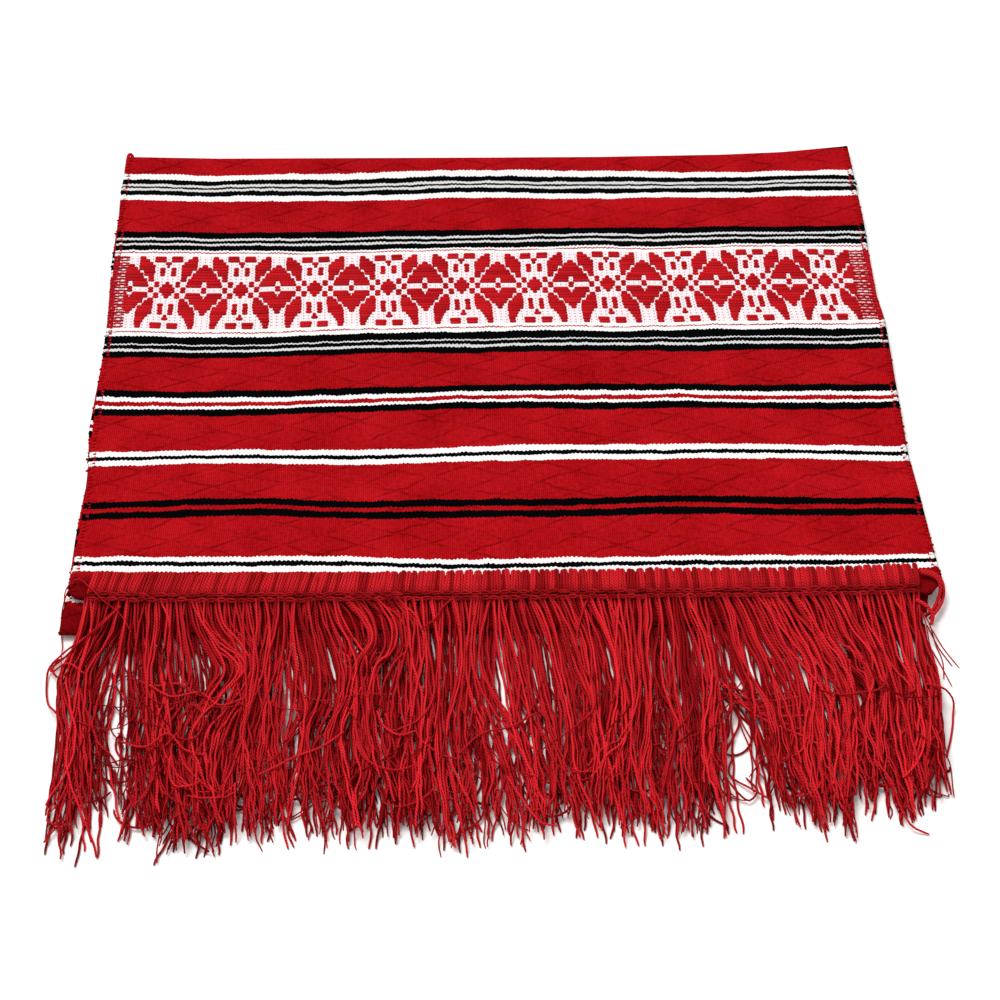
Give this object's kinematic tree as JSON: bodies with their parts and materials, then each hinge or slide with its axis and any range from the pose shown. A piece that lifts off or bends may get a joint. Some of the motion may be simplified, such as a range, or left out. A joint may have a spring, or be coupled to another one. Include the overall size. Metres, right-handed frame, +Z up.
{
  "type": "folded fringed cloth napkin",
  "caption": "Hand-woven striped cloth napkin folded in two, with a long yarn fringe trim sewn along both ends.",
  "frame": {"origin": "centre of the outline's bounding box, on the surface that the napkin lies on", "axes": "+X along the fold, +Y from the fringe towards the fold, +Z up"},
  "size_m": [0.405, 0.4444, 0.0121],
  "materials": {
    "woven_cloth": "dull weft-faced weave in red, white and black",
    "trim_yarn": "looped yarn heading with chain-stitched rows",
    "fringe_yarn": "loose two-ply yarn with a soft sheen"
  },
  "bodies": {
    "root": {"cloth": "woven_cloth", "heading_upper": "trim_yarn", "heading_lower": "trim_yarn", "fringe_upper": "fringe_yarn", "fringe_lower": "fringe_yarn"}
  },
  "joints": []
}
